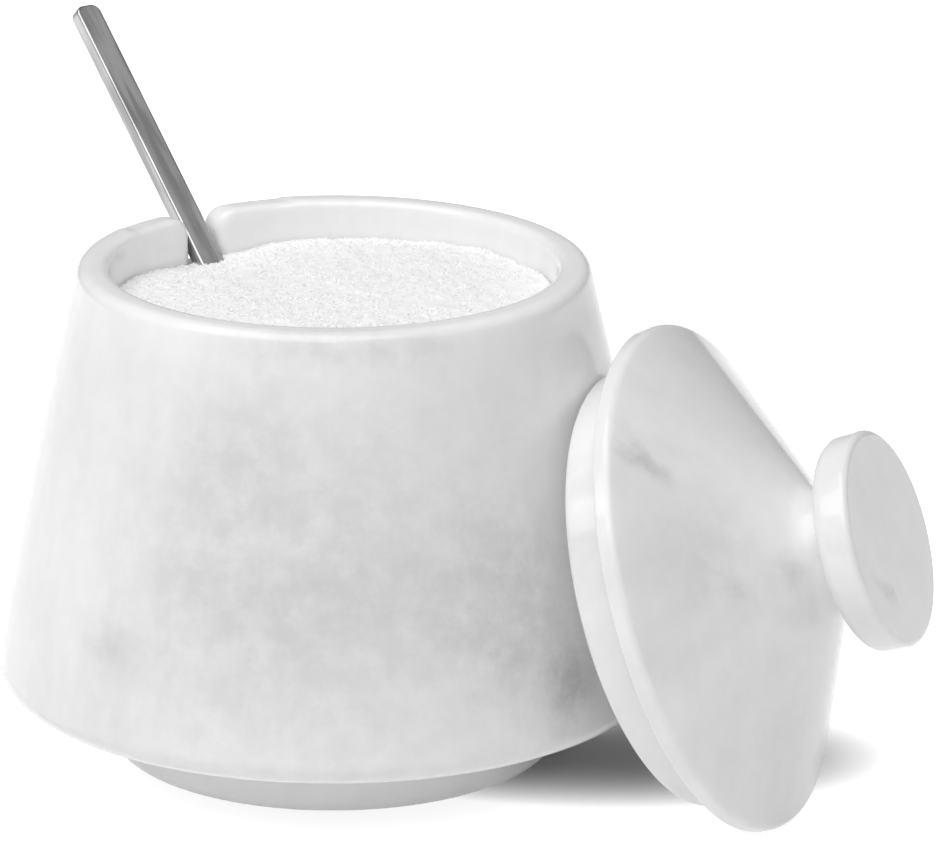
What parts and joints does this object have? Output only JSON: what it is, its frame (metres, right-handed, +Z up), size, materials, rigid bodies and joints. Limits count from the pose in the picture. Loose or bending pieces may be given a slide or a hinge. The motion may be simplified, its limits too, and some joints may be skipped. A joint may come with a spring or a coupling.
{
  "type": "salt cellar",
  "caption": "Turned stone salt cellar: footed bowl of salt with a notched rim, steel spoon standing in it and a knobbed lid leaning on its side.",
  "frame": {"origin": "on the bowl's axis, at the underside of the pad that it rests on", "axes": "+Z up along the bowl's axis, the viewer at -Y, the lid leans at +X and the spoon's notch is at the back left"},
  "size_m": [0.1359, 0.1057, 0.1023],
  "materials": {
    "marble": "polished",
    "pad": "matte",
    "salt": "granular",
    "steel": "polished"
  },
  "bodies": {
    "cellar": {"bowl": "marble", "base_pad": "pad", "salt": "salt"},
    "spoon": {"spoon": "steel"},
    "lid": {"lid": "marble"}
  },
  "joints": [
    {"name": "spoon_lift", "type": "slide", "parent": "cellar", "child": "spoon", "axis": [0, 0, 1], "range_m": [0, 0.05], "deforming": ["salt"]},
    {"name": "lid_lift", "type": "slide", "parent": "cellar", "child": "lid", "axis": [0, 0, 1], "range_m": [0, 0.1]}
  ]
}
